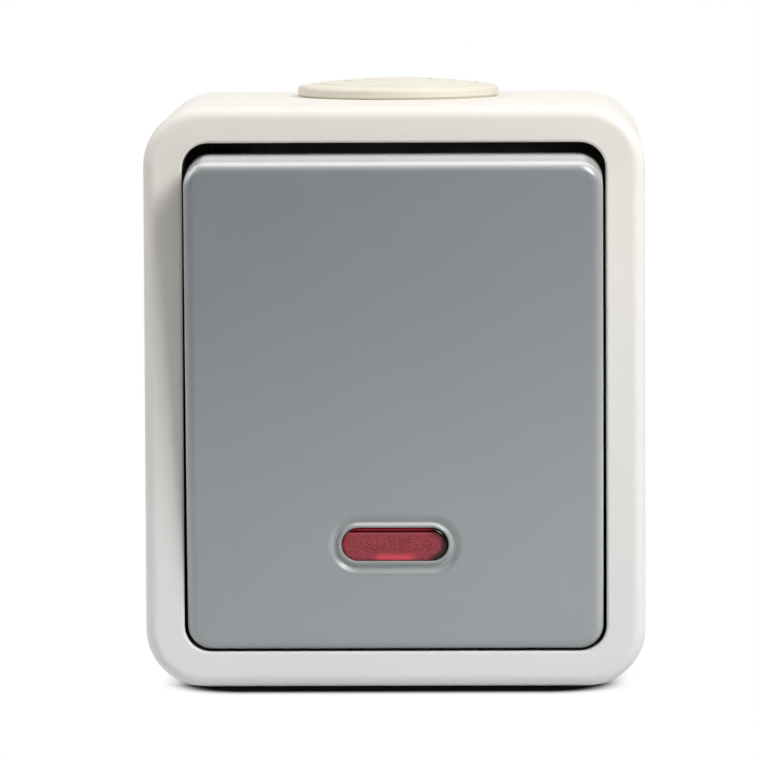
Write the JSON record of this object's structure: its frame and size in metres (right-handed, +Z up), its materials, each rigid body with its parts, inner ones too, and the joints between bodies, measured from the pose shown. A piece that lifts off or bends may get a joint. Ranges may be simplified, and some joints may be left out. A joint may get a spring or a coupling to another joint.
{
  "type": "outdoor weatherproof switch",
  "caption": "Surface-mounted weatherproof light switch: deep rounded housing with a large tilted rocker, a red pilot lens and a membrane cable grommet on top.",
  "frame": {"origin": "centre of the flat wall face", "axes": "+Z up towards the cable grommet, +X to the right seen from the front, -Y out of the wall towards the user"},
  "size_m": [0.065, 0.0561, 0.0779],
  "materials": {
    "white_plastic": "satin moulded",
    "ivory_rubber": "soft matt",
    "grey_plastic": "fine satin",
    "red_lens": "clear tinted",
    "dark_rubber": "matt",
    "steel": "zinc plated",
    "spring_steel": "bright drawn",
    "insert_plastic": "moulded",
    "actuator_plastic": "moulded",
    "brass": "stamped",
    "contact_metal": "plain silver-coloured metal",
    "lamp_glass": "clear",
    "resistor_ceramic": "matt",
    "lead_wire": "tinned"
  },
  "bodies": {
    "housing": {"front_cover": "white_plastic", "back_box": "white_plastic", "cable_grommet": "ivory_rubber", "cover_gasket": "dark_rubber", "cover_screws": "steel", "insert_base": "insert_plastic", "insert_screws": "steel", "bearing_frame": "insert_plastic", "frame_screws": "steel", "window_seal": "dark_rubber", "common_contact": "brass", "fixed_contact_upper": "brass", "fixed_contact_lower": "brass", "contact_pads": "contact_metal", "terminal_cages": "brass", "terminal_screws": "steel", "lamp_holder": "insert_plastic", "neon_lamp": "lamp_glass", "lamp_resistor": "resistor_ceramic", "lamp_leads": "lead_wire"},
    "rocker": {"rocker": "grey_plastic", "indicator_lens": "red_lens", "actuator": "actuator_plastic", "plunger_spring": "spring_steel"},
    "plunger": {"plunger": "actuator_plastic"},
    "contact": {"contact_lever": "brass", "moving_contact_tips": "contact_metal"}
  },
  "joints": [
    {"name": "rocker_tilt", "type": "hinge", "parent": "housing", "child": "rocker", "pos_m": [0, -0.042, 0], "axis": [1, 0, 0], "range_deg": [-11, 0]},
    {"name": "plunger_slide", "type": "slide", "parent": "rocker", "child": "plunger", "axis": [0, -0.9954, -0.0958], "range_m": [0, 0.0008], "stiffness_N_per_m": 1000, "springref_m": -0.002, "deforming": ["plunger_spring"]},
    {"name": "contact_tilt", "type": "hinge", "parent": "housing", "child": "contact", "pos_m": [0, -0.0243, 0], "axis": [1, 0, 0], "range_deg": [0, 16.5]}
  ],
  "couplings": [
    {"joint": "contact_tilt", "follows": "rocker_tilt", "ratio": -1.5}
  ]
}
